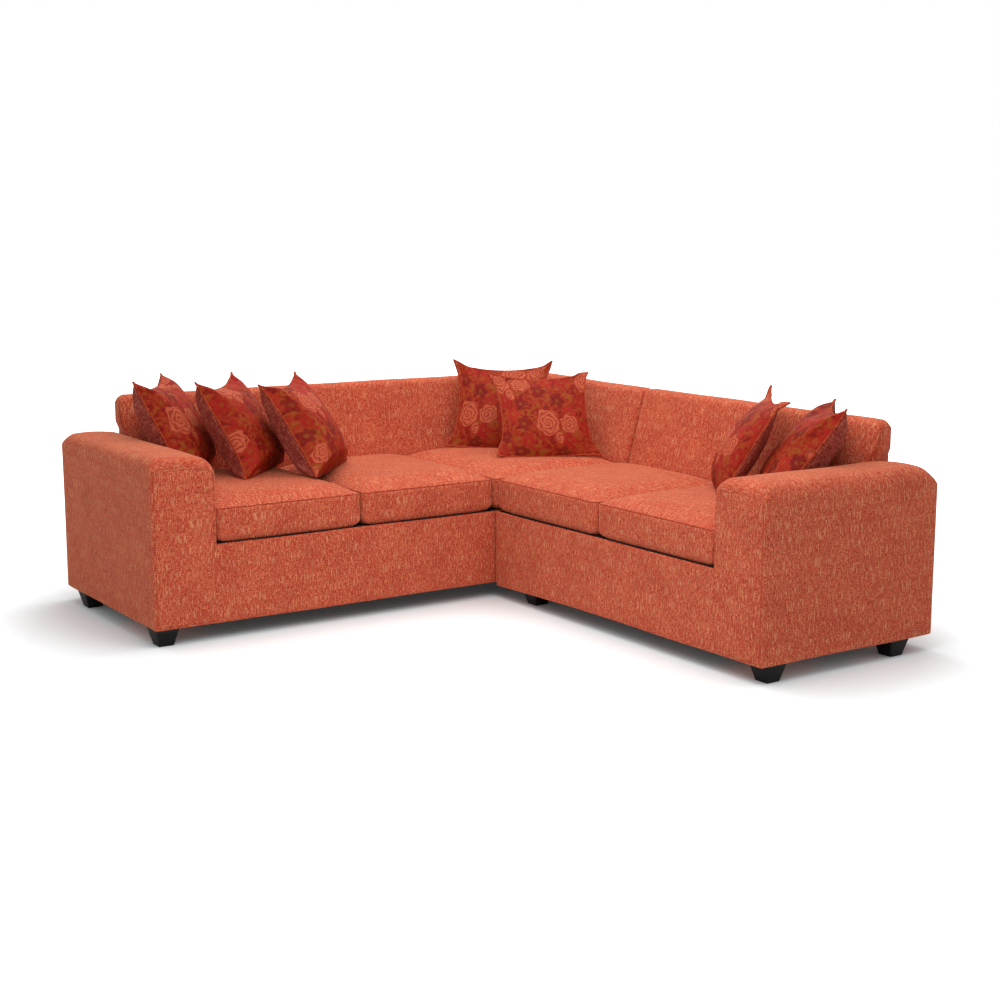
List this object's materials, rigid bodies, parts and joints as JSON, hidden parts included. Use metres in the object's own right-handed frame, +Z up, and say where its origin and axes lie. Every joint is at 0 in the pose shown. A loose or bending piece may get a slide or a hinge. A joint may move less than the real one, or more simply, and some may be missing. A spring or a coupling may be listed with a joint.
{
  "type": "sectional sofa",
  "caption": "L-shaped corner sofa in terracotta woven cloth with block arms, loose seat cushions, black feet and red floral scatter cushions; its two sections unhook",
  "frame": {"origin": "on the floor at the centre of the rectangle round both wings", "axes": "+Z up; the rear of wing A faces +Y and the rear of wing B faces +X; wing B runs towards -Y from the corner at +X +Y"},
  "size_m": [2.235, 2.435, 0.8692],
  "materials": {
    "upholstery": "terracotta slubby woven upholstery cloth, matt",
    "brocade": "deep red floral brocade with gold and salmon, plain dusty red rear",
    "leg_black": "black satin painted hardwood",
    "timber": "planed pine and plywood, unfinished",
    "foam": "open-cell upholstery foam",
    "filling": "white fibre filling",
    "deck_felt": "felt pad under brown-red deck cloth",
    "webbing": "elastic upholstery webbing, woven",
    "dust_cloth": "thin black non-woven cloth",
    "steel": "zinc-plated steel"
  },
  "bodies": {
    "left_section": {"left_base_frame": "timber", "left_arm_frame": "timber", "left_back_frame": "timber", "corner_back_frame": "timber", "left_webbing": "webbing", "left_seat_deck": "deck_felt", "left_arm_pad": "foam", "left_back_pad": "foam", "corner_back_pad": "foam", "left_arm_cover": "upholstery", "left_back_cover": "upholstery", "corner_back_cover": "upholstery", "left_front_panel": "upholstery", "left_rear_panel": "upholstery", "corner_side_panel": "upholstery", "left_joint_panel": "upholstery", "left_dust_cover": "dust_cloth", "left_legs": "leg_black", "left_link_sockets": "steel", "left_fasteners": "steel"},
    "right_section": {"right_base_frame": "timber", "right_arm_frame": "timber", "right_back_frame": "timber", "right_webbing": "webbing", "right_seat_deck": "deck_felt", "right_arm_pad": "foam", "right_back_pad": "foam", "right_arm_cover": "upholstery", "right_back_cover": "upholstery", "right_front_panel": "upholstery", "right_rear_panel": "upholstery", "right_joint_panel": "upholstery", "right_dust_cover": "dust_cloth", "right_legs": "leg_black", "right_link_hooks": "steel", "right_fasteners": "steel"},
    "seat_a1": {"seat_cover_a1": "upholstery", "seat_core_a1": "foam"},
    "seat_a2": {"seat_cover_a2": "upholstery", "seat_core_a2": "foam"},
    "seat_corner": {"seat_cover_corner": "upholstery", "seat_core_corner": "foam"},
    "seat_b1": {"seat_cover_b1": "upholstery", "seat_core_b1": "foam"},
    "seat_b2": {"seat_cover_b2": "upholstery", "seat_core_b2": "foam"},
    "scatter_l1": {"scatter_cover_l1": "brocade", "scatter_filling_l1": "filling"},
    "scatter_l2": {"scatter_cover_l2": "brocade", "scatter_filling_l2": "filling"},
    "scatter_l3": {"scatter_cover_l3": "brocade", "scatter_filling_l3": "filling"},
    "scatter_c1": {"scatter_cover_c1": "brocade", "scatter_filling_c1": "filling"},
    "scatter_c2": {"scatter_cover_c2": "brocade", "scatter_filling_c2": "filling"},
    "scatter_r1": {"scatter_cover_r1": "brocade", "scatter_filling_r1": "filling"},
    "scatter_r2": {"scatter_cover_r2": "brocade", "scatter_filling_r2": "filling"}
  },
  "joints": [
    {"name": "right_section_lift", "type": "slide", "parent": "left_section", "child": "right_section", "axis": [0, 0, 1], "range_m": [0, 0.05]},
    {"name": "seat_a1_lift", "type": "slide", "parent": "left_section", "child": "seat_a1", "axis": [0, 0, 1], "range_m": [0, 0.25]},
    {"name": "seat_a2_pull", "type": "slide", "parent": "left_section", "child": "seat_a2", "axis": [0, -1, 0], "range_m": [0, 0.3]},
    {"name": "seat_corner_lift", "type": "slide", "parent": "left_section", "child": "seat_corner", "axis": [0, 0, 1], "range_m": [0, 0.25]},
    {"name": "seat_b1_lift", "type": "slide", "parent": "right_section", "child": "seat_b1", "axis": [0, 0, 1], "range_m": [0, 0.25]},
    {"name": "seat_b2_lift", "type": "slide", "parent": "right_section", "child": "seat_b2", "axis": [0, 0, 1], "range_m": [0, 0.25]},
    {"name": "scatter_l1_lift", "type": "slide", "parent": "seat_a1", "child": "scatter_l1", "axis": [-0.294, 0.2322, 0.9272], "range_m": [0, 0.25]},
    {"name": "scatter_l2_lift", "type": "slide", "parent": "seat_a1", "child": "scatter_l2", "axis": [-0.2717, 0.2579, 0.9272], "range_m": [0, 0.25]},
    {"name": "scatter_l3_lift", "type": "slide", "parent": "seat_a1", "child": "scatter_l3", "axis": [-0.2717, 0.2579, 0.9272], "range_m": [0, 0.25]},
    {"name": "scatter_c1_lift", "type": "slide", "parent": "seat_corner", "child": "scatter_c1", "axis": [0.2472, 0.2814, 0.9272], "range_m": [0, 0.25]},
    {"name": "scatter_c2_lift", "type": "slide", "parent": "seat_corner", "child": "scatter_c2", "axis": [0.153, 0.342, 0.9272], "range_m": [0, 0.25]},
    {"name": "scatter_r1_lift", "type": "slide", "parent": "seat_b2", "child": "scatter_r1", "axis": [0.287, -0.2408, 0.9272], "range_m": [0, 0.25]},
    {"name": "scatter_r2_lift", "type": "slide", "parent": "seat_b2", "child": "scatter_r2", "axis": [0.294, -0.2322, 0.9272], "range_m": [0, 0.25]}
  ]
}
